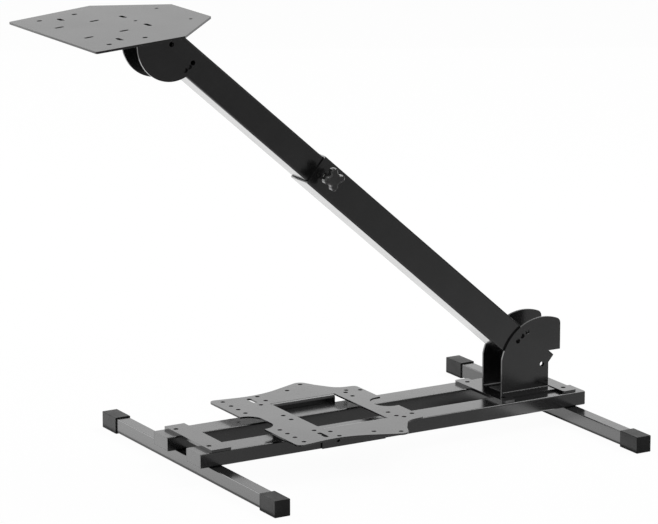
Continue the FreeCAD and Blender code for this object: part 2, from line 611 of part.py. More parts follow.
def pedal_tab(side):
    """A tab bent down from the edge of the pedal plate's window, along the outer side of a rail."""
    bend = PEDAL_BEND
    inner_bend = PEDAL_BEND - PEDAL_SHEET
    outer = TAB_INNER + PEDAL_SHEET
    flat_start = TAB_INNER + bend
    bottom = FOOT_TOP + TAB_BOTTOM_OVER_RAIL_FOOT
    centre_z = PEDAL_TOP - bend
    half_root = math.sqrt(0.5)
    lap = flat_start + CUT_PAST
    wire = Part.Wire([
        Part.LineSegment(vec(0, lap, PEDAL_TOP), vec(0, flat_start, PEDAL_TOP)).toShape(),
        Part.Arc(vec(0, flat_start, PEDAL_TOP),
                 vec(0, flat_start - bend * half_root, centre_z + bend * half_root),
                 vec(0, TAB_INNER, centre_z)).toShape(),
        Part.LineSegment(vec(0, TAB_INNER, centre_z), vec(0, TAB_INNER, bottom)).toShape(),
        Part.LineSegment(vec(0, TAB_INNER, bottom), vec(0, outer, bottom)).toShape(),
        Part.LineSegment(vec(0, outer, bottom), vec(0, outer, centre_z)).toShape(),
        Part.Arc(vec(0, outer, centre_z),
                 vec(0, flat_start - inner_bend * half_root, centre_z + inner_bend * half_root),
                 vec(0, flat_start, PEDAL_BOTTOM)).toShape(),
        Part.LineSegment(vec(0, flat_start, PEDAL_BOTTOM), vec(0, lap, PEDAL_BOTTOM)).toShape(),
        Part.LineSegment(vec(0, lap, PEDAL_BOTTOM), vec(0, lap, PEDAL_TOP)).toShape(),
    ])
    face = Part.Face(wire)
    start = PEDAL_FRONT + TAB_FROM_EDGE
    face.translate(vec(start, 0, 0))
    tab = face.extrude(vec(TAB_LENGTH, 0, 0))
    hole_z = FOOT_TOP + RAIL_HEIGHT / 2
    holes = [cylinder(TAB_HOLE / 2, vec(x, TAB_INNER - CUT_PAST, hole_z), vec(x, outer + CUT_PAST, hole_z))
             for x in (start + TAB_HOLE_INSET, start + TAB_LENGTH - TAB_HOLE_INSET)]
    tab = tab.cut(holes)
    if side < 0:
        tab = tab.mirror(vec(0, 0, 0), vec(0, 1, 0))
    return tab


def pedal_plate():
    """The pedal plate: a shaped sheet with a window over the rails, two tabs, and its field of holes."""
    half = [(PEDAL_FRONT + s, y, radius) for s, y, radius in PEDAL_OUTLINE]
    mirrored = [(x, -y, radius) for x, y, radius in reversed(half)]
    face = rounded_face(mirrored + half)
    face.translate(vec(0, 0, PEDAL_BOTTOM))
    sheet = face.extrude(vec(0, 0, PEDAL_SHEET))
    z0 = PEDAL_BOTTOM - CUT_PAST
    z1 = PEDAL_TOP + CUT_PAST
    rear = PEDAL_FRONT + PEDAL_OUTLINE[-1][0]
    window_edge = TAB_INNER + PEDAL_BEND
    window = box(PEDAL_FRONT + WINDOW_FRONT, PEDAL_FRONT + WINDOW_FRONT + WINDOW_LENGTH,
                 -window_edge, window_edge, z0, z1)
    front_notch = rounded_box(PEDAL_FRONT - NOTCH_RUN_OUT, PEDAL_FRONT + FRONT_NOTCH_DEPTH, -FRONT_NOTCH_HALF,
                              FRONT_NOTCH_HALF, z0, z1, FRONT_NOTCH_ROUND)
    rear_notch = rounded_box(rear - REAR_NOTCH_DEPTH, rear + NOTCH_RUN_OUT, -REAR_NOTCH_HALF, REAR_NOTCH_HALF, z0, z1,
                             REAR_NOTCH_ROUND)
    cutters = [window, front_notch, rear_notch]
    for side in (-1, 1):
        for s, y in PEDAL_HOLES:
            cutters.append(upright_hole(PEDAL_FRONT + s, side * y, z0, z1, PEDAL_HOLE))
        cutters.append(slot_cutter(PEDAL_FRONT + PEDAL_SLOT[0], side * PEDAL_SLOT[1], z0, z1,
                                   PEDAL_HOLE, PEDAL_SLOT_LENGTH, "y"))
    return sheet.cut(cutters).fuse([pedal_tab(-1), pedal_tab(1)]).removeSplitter()


def build():
    """All parts by node name, in the layout frame."""
    parts = {}
    for place, x in (("front", 0.0), ("rear", FOOT_SPACING)):
        parts[f"{place}_foot_tube"] = foot_tube(x)
        parts[f"{place}_foot_cap_near"] = foot_cap(x, -1)
        parts[f"{place}_foot_cap_far"] = foot_cap(x, 1)
    for name, side in (("near", -1), ("far", 1)):
        parts[f"rail_{name}"] = rail(side)
        parts[f"rail_{name}_front_end"] = rail_end_plate(side, False)
        parts[f"rail_{name}_rear_end"] = rail_end_plate(side, True)
    parts["front_cross_plate"] = front_cross_plate()
    parts["bracket_front_strip"] = cross_strip(front_strip_rear() - STRIP_WIDTH, front_strip_hole())
    parts["rear_cross_strip"] = cross_strip(PIVOT_X + BRACKET_REAR_FOOT + REAR_STRIP_GAP, FOOT_SPACING)
    parts["pivot_bracket"] = pivot_bracket(-1)
    parts["pivot_bracket_far"] = pivot_bracket(1)
    parts["pedal_plate"] = pedal_plate()
    parts["lower_arm_tube"] = lower_arm_tube()
    parts["clamp_nut"] = clamp_nut()
    parts["clamp_stud"] = clamp_stud()
    parts["clamp_knob"] = clamp_knob()
    parts["upper_arm_tube"] = upper_arm_tube()
    parts["wheel_bracket"] = wheel_bracket()
    parts["wheel_plate"] = wheel_plate()
    return parts


def main():
    """Builds the stand, moves the origin below its middle and writes one file per part."""
    os.makedirs("parts", exist_ok=True)
    parts = build()
    whole = Part.makeCompound(list(parts.values())).BoundBox
    shift = vec(-(whole.XMin + whole.XMax) / 2, -(whole.YMin + whole.YMax) / 2, -whole.ZMin)
    angle = math.radians(ARM_ANGLE)
    print(f"origin shift {shift.x:.3f} {shift.y:.3f} {shift.z:.3f}")
    print(f"lower pivot {PIVOT_X + shift.x:.3f} {PIVOT_HEIGHT + shift.z:.3f}")
    print(f"upper pivot {PIVOT_X - PIVOT_TO_PIVOT * math.cos(angle) + shift.x:.3f} "
          f"{PIVOT_HEIGHT + PIVOT_TO_PIVOT * math.sin(angle) + shift.z:.3f}")
    for name, shape in parts.items():
        shape.translate(shift)
        if not shape.isValid() or len(shape.Solids) != 1:
            print(f"CHECK {name}: valid {shape.isValid()}, solids {len(shape.Solids)}")
        shape.exportStep(f"parts/{name}.step")
        bounds = shape.BoundBox
        print(f"{name}: x {bounds.XMin:.2f} {bounds.XMax:.2f}  y {bounds.YMin:.2f} {bounds.YMax:.2f}  "
              f"z {bounds.ZMin:.2f} {bounds.ZMax:.2f}  volume {shape.Volume:.0f}")


main()
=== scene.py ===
"""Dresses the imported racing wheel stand: coated steel, moulded plastic, worked details, studio and camera."""

import logging
import math
from dataclasses import dataclass, field
from enum import Enum

import bmesh
import bpy
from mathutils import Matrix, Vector

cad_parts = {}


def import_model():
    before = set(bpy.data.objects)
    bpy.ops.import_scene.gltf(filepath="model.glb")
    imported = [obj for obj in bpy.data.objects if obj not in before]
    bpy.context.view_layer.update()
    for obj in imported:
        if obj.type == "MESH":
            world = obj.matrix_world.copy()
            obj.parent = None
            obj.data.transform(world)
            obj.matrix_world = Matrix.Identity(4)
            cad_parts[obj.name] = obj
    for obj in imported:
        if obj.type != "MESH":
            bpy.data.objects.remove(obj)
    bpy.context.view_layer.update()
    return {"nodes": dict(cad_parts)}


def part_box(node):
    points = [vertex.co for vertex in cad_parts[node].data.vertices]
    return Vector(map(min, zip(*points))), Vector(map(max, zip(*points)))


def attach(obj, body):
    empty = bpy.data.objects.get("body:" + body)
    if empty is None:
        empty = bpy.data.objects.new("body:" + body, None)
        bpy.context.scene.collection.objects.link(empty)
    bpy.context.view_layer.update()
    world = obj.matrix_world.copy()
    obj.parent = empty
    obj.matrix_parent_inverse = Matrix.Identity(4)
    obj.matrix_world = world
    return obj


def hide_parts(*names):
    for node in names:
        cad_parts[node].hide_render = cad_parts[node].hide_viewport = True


log = logging.getLogger("wheel_stand")

MILLIMETRE = 0.001

# A colour or a point, and the places along a coordinate with the level at each.
Triple = tuple[float, float, float]
Stops = tuple[tuple[float, float], ...]


class Gloss(Enum):
    """How a coated or moulded surface throws light back, as its roughness."""

    SEMI_GLOSS = 0.17
    MATT = 0.4


class Recipe:
    """The node tree of a material or of the world, with short ways to add nodes and to join them.

    An edge shows where the rounded normal turns from the true one. EDGE_TURN holds the cosines of that turn
    at which the edge shows in full and at which it ends.
    """

    EDGE_SAMPLES: int = 6
    EDGE_TURN: tuple[float, float] = (0.8, 0.995)

    def __init__(self, owner: "bpy.types.Material | bpy.types.World") -> None:
        """Starts an empty tree.

        Args:
            owner: The material or the world that the tree belongs to.
        """
        owner.use_nodes = True
        self.tree = owner.node_tree
        self.tree.nodes.clear()
        on_surface = isinstance(owner, bpy.types.Material)
        self.output = self.add("ShaderNodeOutputMaterial" if on_surface else "ShaderNodeOutputWorld")
        self.place = self.add("ShaderNodeTexCoord").outputs["Object" if on_surface else "Generated"]

    def add(self, kind: str, **values: object) -> bpy.types.Node:
        """Adds a node and sets its plain properties.

        Args:
            kind: Blender's name of the node type.
            **values: Properties of the node, by name.

        Returns:
            The new node.
        """
        node = self.tree.nodes.new(kind)
        for name, value in values.items():
            setattr(node, name, value)
        return node

    def join(self, source: bpy.types.NodeSocket, target: bpy.types.NodeSocket) -> None:
        """Links an output to an input."""
        self.tree.links.new(source, target)

    def finish(self, surface: bpy.types.NodeSocket) -> None:
        """Links the finished shader to the tree's output."""
        self.join(surface, self.output.inputs["Surface"])

    def noise(self, scale: float, detail: float = 2.0, roughness: float = 0.5) -> bpy.types.NodeSocket:
        """Adds a noise texture in the object's own space.

        Args:
            scale: Cells per metre.
            detail: How many finer layers are added.
            roughness: How strong the finer layers are.

        Returns:
            The noise's value.
        """
        node = self.add("ShaderNodeTexNoise")
        node.inputs["Scale"].default_value = scale
        node.inputs["Detail"].default_value = detail
        node.inputs["Roughness"].default_value = roughness
        self.join(self.place, node.inputs["Vector"])
        return node.outputs["Fac"]

    def spread(self, value: bpy.types.NodeSocket, low: float, high: float,
               from_low: float = 0.3, from_high: float = 0.7) -> bpy.types.NodeSocket:
        """Maps a value between two others.

        Args:
            value: What is mapped.
            low: The result at from_low.
            high: The result at from_high.
            from_low: Where the mapping starts.
            from_high: Where the mapping ends.

        Returns:
            The mapped value, clamped to the two results.
        """
        node = self.add("ShaderNodeMapRange")
        node.inputs["From Min"].default_value = from_low
        node.inputs["From Max"].default_value = from_high
        node.inputs["To Min"].default_value = low
        node.inputs["To Max"].default_value = high
        self.join(value, node.inputs["Value"])
        return node.outputs["Result"]

    def ramp(self, value: bpy.types.NodeSocket, stops: Stops) -> bpy.types.NodeSocket:
        """Maps a value along straight stretches between stops.

        Args:
            value: What is mapped.
            stops: Pairs of a value and its level, in rising order.

        Returns:
            The level.
        """
        first, last = stops[0][0], stops[-1][0]
        node = self.add("ShaderNodeValToRGB")
        elements = node.color_ramp.elements
        for _ in stops[2:]:
            elements.new(0.5)
        for element, (where, level) in zip(elements, stops):
            element.position = (where - first) / (last - first)
            element.color = (level, level, level, 1.0)
        self.join(self.spread(value, 0.0, 1.0, first, last), node.inputs["Fac"])
        return node.outputs["Color"]

    def ramp_along(self, axis: str, stops: Stops) -> bpy.types.NodeSocket:
        """Maps one coordinate of the place, or of the direction in the world's tree.

        Args:
            axis: The coordinate's letter.
            stops: Pairs of the coordinate and its level, in rising order.

        Returns:
            The level.
        """
        parts = self.add("ShaderNodeSeparateXYZ")
        self.join(self.place, parts.inputs["Vector"])
        return self.ramp(parts.outputs[axis], stops)

    def arithmetic(self, operation: str, first: bpy.types.NodeSocket,
                   second: "bpy.types.NodeSocket | float") -> bpy.types.NodeSocket:
        """Adds a math node.

        Args:
            operation: Blender's name of the operation.
            first: Its first input.
            second: Its second input, linked or plain.

        Returns:
            The result.
        """
        node = self.add("ShaderNodeMath", operation=operation)
        self.join(first, node.inputs[0])
        if isinstance(second, float):
            node.inputs[1].default_value = second
        else:
            self.join(second, node.inputs[1])
        return node.outputs[0]

    def blend_colours(self, share: bpy.types.NodeSocket, first: "Triple | bpy.types.NodeSocket",
                      second: Triple) -> bpy.types.NodeSocket:
        """Mixes two colours.

        Args:
            share: How much of the second colour shows.
            first: The first colour, plain or linked.
            second: The second colour.

        Returns:
            The mixed colour.
        """
        node = self.add("ShaderNodeMix", data_type="RGBA")
        if isinstance(first, tuple):
            node.inputs["A"].default_value = (*first, 1.0)
        else:
            self.join(first, node.inputs["A"])
        node.inputs["B"].default_value = (*second, 1.0)
        self.join(share, node.inputs["Factor"])
        return node.outputs["Result"]

    def blend_shaders(self, share: bpy.types.NodeSocket, first: bpy.types.Node,
                      second: bpy.types.Node) -> bpy.types.NodeSocket:
        """Mixes two shaders.

        Args:
            share: How much of the second shader shows.
            first: The first shader's node.
            second: The second shader's node.

        Returns:
            The mixed shader.
        """
        node = self.add("ShaderNodeMixShader")
        self.join(share, node.inputs["Fac"])
        self.join(first.outputs[0], node.inputs[1])
        self.join(second.outputs[0], node.inputs[2])
        return node.outputs["Shader"]

    def bump(self, height: bpy.types.NodeSocket, distance: float, strength: float,
             under: "bpy.types.NodeSocket | None" = None) -> bpy.types.NodeSocket:
        """Turns a height into a normal.

        Args:
            height: The height, 0 to 1.
            distance: The depth of the relief in metres.
            strength: How much of it shows.
            under: A normal that it is laid over.

        Returns:
            The new normal.
        """
        node = self.add("ShaderNodeBump")
        node.inputs["Distance"].default_value = distance
        node.inputs["Strength"].default_value = strength
        self.join(height, node.inputs["Height"])
        if under is not None:
            self.join(under, node.inputs["Normal"])
        return node.outputs["Normal"]

    def edges(self, radius: float) -> bpy.types.NodeSocket:
        """Finds the edges of the solid.

        Args:
            radius: How far from an edge it still counts, in metres.

        Returns:
            1 on an edge, 0 away from it.
        """
        rounded = self.add("ShaderNodeBevel", samples=self.EDGE_SAMPLES)
        rounded.inputs["Radius"].default_value = radius
        true_normal = self.add("ShaderNodeNewGeometry")
        match = self.add("ShaderNodeVectorMath", operation="DOT_PRODUCT")
        self.join(rounded.outputs["Normal"], match.inputs[0])
        self.join(true_normal.outputs["Normal"], match.inputs[1])
        return self.spread(match.outputs["Value"], 1.0, 0.0, *self.EDGE_TURN)


@dataclass(frozen=True)
class PowderCoat:
    """Black powder coat on steel: semi-gloss, with a fine orange peel, and paler edges that are partly wear and
    partly a painted highlight.

    Every scale counts cells per metre, and every reach, size and depth is in metres.
    """

    name: str = "powder_coat_black"
    colour: Triple = (0.0055, 0.0055, 0.0057)
    cloud: Triple = (0.009, 0.009, 0.0093)
    cloud_scale: float = 28.0
    # The paler colour of the edges: partly wear, partly a painted highlight of their sheen.
    worn_and_sheen: Triple = (0.03, 0.03, 0.031)
    scuff_scale: float = 210.0
    scuff_from: float = 0.42
    scuff_to: float = 0.62
    edge_reach: float = 0.3 * MILLIMETRE
    gloss: Gloss = Gloss.SEMI_GLOSS
    patch_scale: float = 11.0
    patch_smoother: float = 0.03
    patch_rougher: float = 0.035
    speck_scale: float = 900.0
    speck: float = 0.015
    ior: float = 1.56
    peel_size: float = 1.6 * MILLIMETRE
    peel_depth: float = 0.02 * MILLIMETRE
    peel_strength: float = 0.6
    grain_size: float = 0.35 * MILLIMETRE
    grain_depth: float = 0.004 * MILLIMETRE
    grain_strength: float = 0.5

    def material(self) -> bpy.types.Material:
        """Builds the coat's material.

        Returns:
            The material.
        """
        material = bpy.data.materials.new(self.name)
        recipe = Recipe(material)
        surface = recipe.add("ShaderNodeBsdfPrincipled")
        surface.inputs["IOR"].default_value = self.ior
        recipe.join(self.tint(recipe), surface.inputs["Base Color"])
        recipe.join(self.sheen(recipe), surface.inputs["Roughness"])
        peel = recipe.bump(recipe.noise(1.0 / self.peel_size, detail=1.0), self.peel_depth,
                           self.peel_strength)
        grain = recipe.bump(recipe.noise(1.0 / self.grain_size, detail=1.0), self.grain_depth,
                            self.grain_strength, peel)
        recipe.join(grain, surface.inputs["Normal"])
        recipe.finish(surface.outputs["BSDF"])
        return material

    def tint(self, recipe: Recipe) -> bpy.types.NodeSocket:
        """Mixes the coat's colour: faint clouds, and paler patches along the edges that are partly wear and
        partly a painted highlight.

        Args:
            recipe: The material's tree.

        Returns:
            The colour.
        """
        cloud = recipe.spread(recipe.noise(self.cloud_scale, detail=4.0), 0.0, 1.0)
        base = recipe.blend_colours(cloud, self.colour, self.cloud)
        scuff = recipe.spread(recipe.noise(self.scuff_scale, detail=3.0), 0.0, 1.0,
                              self.scuff_from, self.scuff_to)
        # Paler edges in patches: partly wear, partly a painted highlight of the edges' sheen.
        rub_and_sheen = recipe.arithmetic("MULTIPLY", recipe.edges(self.edge_reach), scuff)
        return recipe.blend_colours(rub_and_sheen, base, self.worn_and_sheen)

    def sheen(self, recipe: Recipe) -> bpy.types.NodeSocket:
        """Varies the coat's roughness in broad patches and fine specks.

        Args:
            recipe: The material's tree.

        Returns:
            The roughness.
        """
        middle = self.gloss.value
        patches = recipe.spread(recipe.noise(self.patch_scale, detail=3.0), middle - self.patch_smoother,
                                middle + self.patch_rougher)
        specks = recipe.spread(recipe.noise(self.speck_scale, detail=1.0), -self.speck, self.speck)
        return recipe.arithmetic("ADD", patches, specks)


@dataclass(frozen=True)
class MouldedPlastic:
    """Black moulded plastic: a fine stipple from its mould and softer, greyer edges.

    Every scale counts cells per metre, and every reach, size and depth is in metres.
    """

    name: str
    colour: Triple
    pale: Triple
    gloss: Gloss
    ior: float
    flow_scale: float = 70.0
    flow_share: float = 0.35
    edge_reach: float = 0.6 * MILLIMETRE
    edge_share: float = 0.8
    patch_scale: float = 45.0
    patch: float = 0.05
    stipple_size: float = 0.5 * MILLIMETRE
    stipple_depth: float = 0.02 * MILLIMETRE
    stipple_strength: float = 0.55

    def material(self) -> bpy.types.Material:
        """Builds the plastic's material.

        Returns:
            The material.
        """
        material = bpy.data.materials.new(self.name)
        recipe = Recipe(material)
        surface = recipe.add("ShaderNodeBsdfPrincipled")
        surface.inputs["IOR"].default_value = self.ior
        flow = recipe.spread(recipe.noise(self.flow_scale, detail=5.0, roughness=0.6), 0.0, self.flow_share)
        touched = recipe.arithmetic("MULTIPLY", recipe.edges(self.edge_reach), self.edge_share)
        share = recipe.arithmetic("MAXIMUM", flow, touched)
        recipe.join(recipe.blend_colours(share, self.colour, self.pale), surface.inputs["Base Color"])
        middle = self.gloss.value
        patches = recipe.spread(recipe.noise(self.patch_scale, detail=3.0), middle - self.patch,
                                middle + self.patch)
        recipe.join(patches, surface.inputs["Roughness"])
        stipple = recipe.bump(recipe.noise(1.0 / self.stipple_size), self.stipple_depth,
                              self.stipple_strength)
        recipe.join(stipple, surface.inputs["Normal"])
        recipe.finish(surface.outputs["BSDF"])
        return material


@dataclass(frozen=True)
class ZincSteel:
    """Zinc-plated steel of the clamp screw: a dull bright metal with faint stains."""

    name: str = "zinc_plated_steel"
    colour: Triple = (0.46, 0.46, 0.45)
    stain: Triple = (0.30, 0.295, 0.27)
    stain_scale: float = 350.0
    stain_from: float = 0.35
    stain_to: float = 0.75
    sheen_scale: float = 900.0
    smoothest: float = 0.26
    roughest: float = 0.42
    grain_scale: float = 2600.0
    grain_depth: float = 0.01 * MILLIMETRE
    grain_strength: float = 0.4

    def material(self) -> bpy.types.Material:
        """Builds the plating's material.

        Returns:
            The material.
        """
        material = bpy.data.materials.new(self.name)
        recipe = Recipe(material)
        surface = recipe.add("ShaderNodeBsdfPrincipled")
        surface.inputs["Metallic"].default_value = 1.0
        stains = recipe.spread(recipe.noise(self.stain_scale, detail=4.0, roughness=0.6), 0.0, 1.0,
                               self.stain_from, self.stain_to)
        recipe.join(recipe.blend_colours(stains, self.colour, self.stain), surface.inputs["Base Color"])
        recipe.join(recipe.spread(recipe.noise(self.sheen_scale), self.smoothest, self.roughest),
                    surface.inputs["Roughness"])
        grain = recipe.bump(recipe.noise(self.grain_scale, detail=1.0), self.grain_depth, self.grain_strength)
        recipe.join(grain, surface.inputs["Normal"])
        recipe.finish(surface.outputs["BSDF"])
        return material


@dataclass
class Finishes:
    """The stand's finishes, each made once."""

    coat: bpy.types.Material = field(init=False)
    cap_plastic: bpy.types.Material = field(init=False)
    knob_plastic: bpy.types.Material = field(init=False)
    zinc: bpy.types.Material = field(init=False)

    def __post_init__(self) -> None:
        """Makes every material."""
        self.coat = PowderCoat().material()
        self.cap_plastic = MouldedPlastic("cap_plastic_black", colour=(0.011, 0.011, 0.011),
                                          pale=(0.024, 0.024, 0.024), gloss=Gloss.MATT,
                                          ior=1.2).material()
        self.knob_plastic = MouldedPlastic("knob_plastic_black", colour=(0.01, 0.01, 0.01),
                                           pale=(0.036, 0.036, 0.036), gloss=Gloss.SEMI_GLOSS,
                                           ior=1.58).material()
        self.zinc = ZincSteel().material()


def add_mesh(name: str, build: bmesh.types.BMesh) -> bpy.types.Object:
    """Turns a bmesh into a smooth-shaded object of the scene.

    Args:
        name: The object's name.
        build: The bmesh, which is freed.

    Returns:
        The new object.
    """
    mesh = bpy.data.meshes.new(name)
    bmesh.ops.recalc_face_normals(build, faces=build.faces)
    build.to_mesh(mesh)
    build.free()
    mesh.shade_smooth()
    piece = bpy.data.objects.new(name, mesh)
    bpy.context.scene.collection.objects.link(piece)
    return piece


def dress(piece: bpy.types.Object, material: bpy.types.Material) -> None:
    """Gives an object one material in place of those it has.

    Args:
        piece: The object.
        material: Its new finish.
    """
    if not piece.material_slots:
        piece.data.materials.append(material)
    for slot in piece.material_slots:
        slot.material = material


@dataclass
class EdgeRounding:
    """The small round that shearing and coating leave on a sheet's or tube's edges."""

    width: float = 0.12 * MILLIMETRE
    segments: int = 2
    angle: float = math.radians(30)
    seam: float = 0.002 * MILLIMETRE
    flat: float = math.radians(0.3)
    face_weight: int = 90

    def apply_to(self, piece: bpy.types.Object) -> None:
        """Adds the round to a piece, whose facets are first joined into whole flats.

        Args:
            piece: The piece whose sharp edges are rounded.
        """
        joined = piece.modifiers.new("joined seams", "WELD")
        joined.merge_threshold = self.seam
        merged = piece.modifiers.new("whole flats", "DECIMATE")
        merged.decimate_type = "DISSOLVE"
        merged.angle_limit = self.flat
        rounding = piece.modifiers.new("edge round", "BEVEL")
        rounding.width = self.width
        rounding.segments = self.segments
        rounding.limit_method = "ANGLE"
        rounding.angle_limit = self.angle
        even = piece.modifiers.new("even faces", "WEIGHTED_NORMAL")
        even.keep_sharp = True
        even.weight = self.face_weight


@dataclass
class CoatedSteel:
    """The welded and bent steel of the stand: every CAD node that wears the powder coat."""

    nodes: dict[str, bpy.types.Object]
    finish: bpy.types.Material
    sheets: tuple[str, ...] = ("front_cross_plate", "bracket_front_strip", "rear_cross_strip",
                               "pivot_bracket", "pivot_bracket_far", "pedal_plate", "wheel_bracket",
                               "wheel_plate")
    tubes: tuple[str, ...] = ("front_foot_tube", "rear_foot_tube", "rail_near", "rail_far",
                              "rail_near_front_end", "rail_near_rear_end", "rail_far_front_end",
                              "rail_far_rear_end", "lower_arm_tube", "upper_arm_tube", "clamp_nut")
    sheet_round: EdgeRounding = field(default_factory=EdgeRounding)
    tube_round: EdgeRounding = field(default_factory=lambda: EdgeRounding(width=0.2 * MILLIMETRE))

    def build(self) -> list[str]:
        """Coats the nodes and rounds their edges.

        Returns:
            The names of the nodes that were dressed.
        """
        for names, rounding in ((self.sheets, self.sheet_round), (self.tubes, self.tube_round)):
            for name in names:
                dress(self.nodes[name], self.finish)
                rounding.apply_to(self.nodes[name])
        return [*self.sheets, *self.tubes]


@dataclass
class FootCaps:
    """The four push-on caps on the ends of the feet."""

    nodes: dict[str, bpy.types.Object]
    finish: bpy.types.Material
    names: tuple[str, ...] = ("front_foot_cap_near", "front_foot_cap_far", "rear_foot_cap_near",
                              "rear_foot_cap_far")

    def build(self) -> list[str]:
        """Dresses the caps.

        Returns:
            The names of the nodes that were dressed.
        """
        for name in self.names:
            dress(self.nodes[name], self.finish)
        return list(self.names)


@dataclass
class ClampScrew:
    """The clamp screw's visible parts: a rolled thread and the four-lobed palm grip on its hub.

    The thread's crest and root lie at shares of its pitch.
    """

    nodes: dict[str, bpy.types.Object]
    plastic: bpy.types.Material
    steel: bpy.types.Material
    pitch: float = 1.0 * MILLIMETRE
    thread_depth: float = 0.6 * MILLIMETRE
    crest_from: float = 0.35
    crest_to: float = 0.5
    root_from: float = 0.85
    steps_per_turn: int = 32
    same_place: float = 0.005 * MILLIMETRE
    rim: EdgeRounding = field(default_factory=lambda: EdgeRounding(width=0.75 * MILLIMETRE, segments=3,
                                                                   angle=math.radians(25)))

    def build(self) -> list[str]:
        """Makes the thread and dresses the knob.

        Returns:
            The names of the pieces.
        """
        dress(self.nodes["clamp_knob"], self.plastic)
        self.rim.apply_to(self.nodes["clamp_knob"])
        screw = self.thread()
        dress(screw, self.steel)
        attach(screw, "clamp_knob")
        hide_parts("clamp_stud")
        return ["clamp_knob", screw.name]

    def thread(self) -> bpy.types.Object:
        """Builds the screw with its rolled thread, in the place of the CAD shank.

        Returns:
            The screw.
        """
        low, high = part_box("clamp_stud")
        middle = (low + high) / 2
        outer = (high.x - low.x) / 2
        root = outer - self.thread_depth
        profile = ((0.0, root), (self.crest_from, outer), (self.crest_to, outer), (self.root_from, root))
        # The helix starts a turn early and ends a turn late, so every column spans the whole shank.
        turns = range(-1, int((high.y - low.y) / self.pitch) + 2)
        build = bmesh.new()
        columns = []
        for step in range(self.steps_per_turn + 1):
            part_turn = step / self.steps_per_turn
            angle = 2 * math.pi * part_turn
            column = []
            for turn in turns:
                for share, reach in profile:
                    along = low.y + (turn + share + part_turn) * self.pitch
                    if not low.y < along < high.y:
                        along = min(max(along, low.y), high.y)
                        reach = root
                    column.append(build.verts.new((middle.x + reach * math.cos(angle), along,
                                                   middle.z + reach * math.sin(angle))))
            columns.append(column)
        for column, following in zip(columns, columns[1:]):
            for place in range(len(column) - 1):
                build.faces.new((column[place], column[place + 1], following[place + 1], following[place]))
        for end in (0, -1):
            build.faces.new([column[end] for column in columns[:-1]])
        bmesh.ops.remove_doubles(build, verts=build.verts, dist=self.same_place)
        return add_mesh("clamp_thread", build)


@dataclass
class WeldBead:
    """A weld bead with its ripples, laid in a corner and coated with the steel that it joins.

    Its leg at the very end and its crown are shares of its full leg.
    """

    name: str
    start: Vector
    end: Vector
    walls: tuple[Vector, Vector]
    leg: float
    end_leg: float = 0.25
    crown: float = 0.12
    ripple: float = 1.5 * MILLIMETRE
    ripple_height: float = 0.22 * MILLIMETRE
    steps_per_ripple: int = 6
    round_steps: int = 7
    end_length: float = 2.5 * MILLIMETRE

    def section(self, along: float, length: float, step: int) -> list[Vector]:
        """Gives the bead's outline across its run.

        Args:
            along: How far along the run it is.
            length: The whole run.
            step: The step's number, which places it in its ripple.

        Returns:
            The outline's points, counted from the corner.
        """
        close = min(1.0, max(0.0, min(along, length - along) / self.end_length))
        taper = math.sqrt(close * (2.0 - close))
        wave = abs(math.sin(math.pi * step / self.steps_per_ripple))
        leg = self.leg * (self.end_leg + (1.0 - self.end_leg) * taper)
        rise = (self.crown * self.leg + self.ripple_height * wave) * taper
        first, second = self.walls
        outward = (first + second).normalized()
        points = []
        for place in range(self.round_steps + 1):
            share = place / self.round_steps
            points.append(first * leg * (1.0 - share) + second * leg * share
                          + outward * rise * math.sin(math.pi * share))
        return [Vector((0.0, 0.0, 0.0)), *points]

    def build(self) -> bpy.types.Object:
        """Builds the bead.

        Returns:
            The bead.
        """
        run = self.end - self.start
        length = run.length
        steps = max(2, round(length / self.ripple * self.steps_per_ripple))
        build = bmesh.new()
        rings = []
        for step in range(steps + 1):
            corner = self.start + run * (step / steps)
            section = self.section(length * step / steps, length, step)
            rings.append([build.verts.new(corner + point) for point in section])
        for ring, following in zip(rings, rings[1:]):
            for place in range(len(ring)):
                beside = (place + 1) % len(ring)
                build.faces.new((ring[place], ring[beside], following[beside], following[place]))
        build.faces.new(rings[0])
        build.faces.new(list(reversed(rings[-1])))
        return add_mesh(self.name, build)


@dataclass
class BracketWelds:
    """The two welds that hold the wheel bracket's sides to the underside of the wheel plate."""

    finish: bpy.types.Material
    plate_tilt: float = math.radians(4.7)
    edge_length: float = 66.0 * MILLIMETRE
    end_margin: float = 5.0 * MILLIMETRE
    groove_depth: float = 2.2 * MILLIMETRE
    leg: float = 4.8 * MILLIMETRE

    def build(self) -> list[str]:
        """Lays both beads in the grooves over the bracket's bends.

        Returns:
            The names of the beads.
        """
        low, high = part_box("wheel_bracket")
        along = Vector((math.cos(self.plate_tilt), 0.0, math.sin(self.plate_tilt)))
        down = Vector((math.sin(self.plate_tilt), 0.0, -math.cos(self.plate_tilt)))
        names = []
        for name, side, face in (("weld_near", -1.0, low.y), ("weld_far", 1.0, high.y)):
            rear = Vector((low.x + self.edge_length * along.x, face - side * self.groove_depth, high.z))
            start = rear - along * (self.edge_length - self.end_margin)
            end = rear - along * self.end_margin
            walls = (Vector((0.0, side, 0.0)), down)
            bead = WeldBead(f"wheel_bracket_{name}", start, end, walls, self.leg).build()
            dress(bead, self.finish)
            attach(bead, "wheel_plate")
            names.append(bead.name)
        return names


@dataclass(frozen=True)
class SoftBox:
    """A rectangular lamp that faces its aim. Its even face looks white at a radiance of 1."""

    name: str
    place: Triple
    aim: Triple
    width: float
    height: float
    radiance: float

    def hang(self) -> None:
        """Adds the lamp to the scene, facing its aim and unseen by the camera."""
        light = bpy.data.lights.new(self.name, "AREA")
        light.shape = "RECTANGLE"
        light.size = self.width
        light.size_y = self.height
        light.energy = self.radiance * math.pi * self.width * self.height
        box = bpy.data.objects.new(self.name, light)
        bpy.context.scene.collection.objects.link(box)
        box.location = self.place
        box.rotation_euler = (Vector(self.aim) - Vector(self.place)).to_track_quat("-Z", "Y").to_euler()
        box.visible_camera = False


